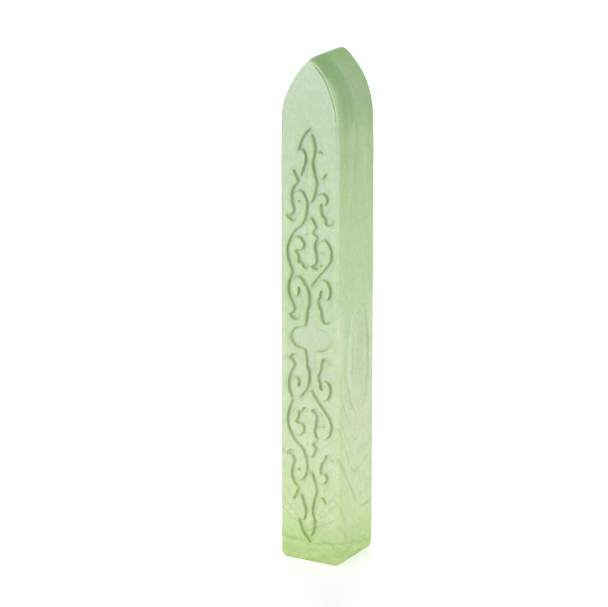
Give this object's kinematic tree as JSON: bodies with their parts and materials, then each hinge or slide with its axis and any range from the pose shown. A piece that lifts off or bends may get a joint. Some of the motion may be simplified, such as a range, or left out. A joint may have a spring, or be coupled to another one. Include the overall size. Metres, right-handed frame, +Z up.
{
  "type": "sealing wax stick",
  "caption": "Square sealing-wax stick with a pointed-arch top and a vine ornament sunk into its front face, melted to seal letters.",
  "frame": {"origin": "centre of the flat base, on its underside", "axes": "+Z up the stick to its tip, -Y out of the ornamented front face, +X to the right of that face"},
  "size_m": [0.012, 0.012, 0.0916],
  "materials": {
    "wax": "satin, pearly and faintly marbled pale green"
  },
  "bodies": {
    "root": {"wax_stick": "wax"}
  },
  "joints": []
}
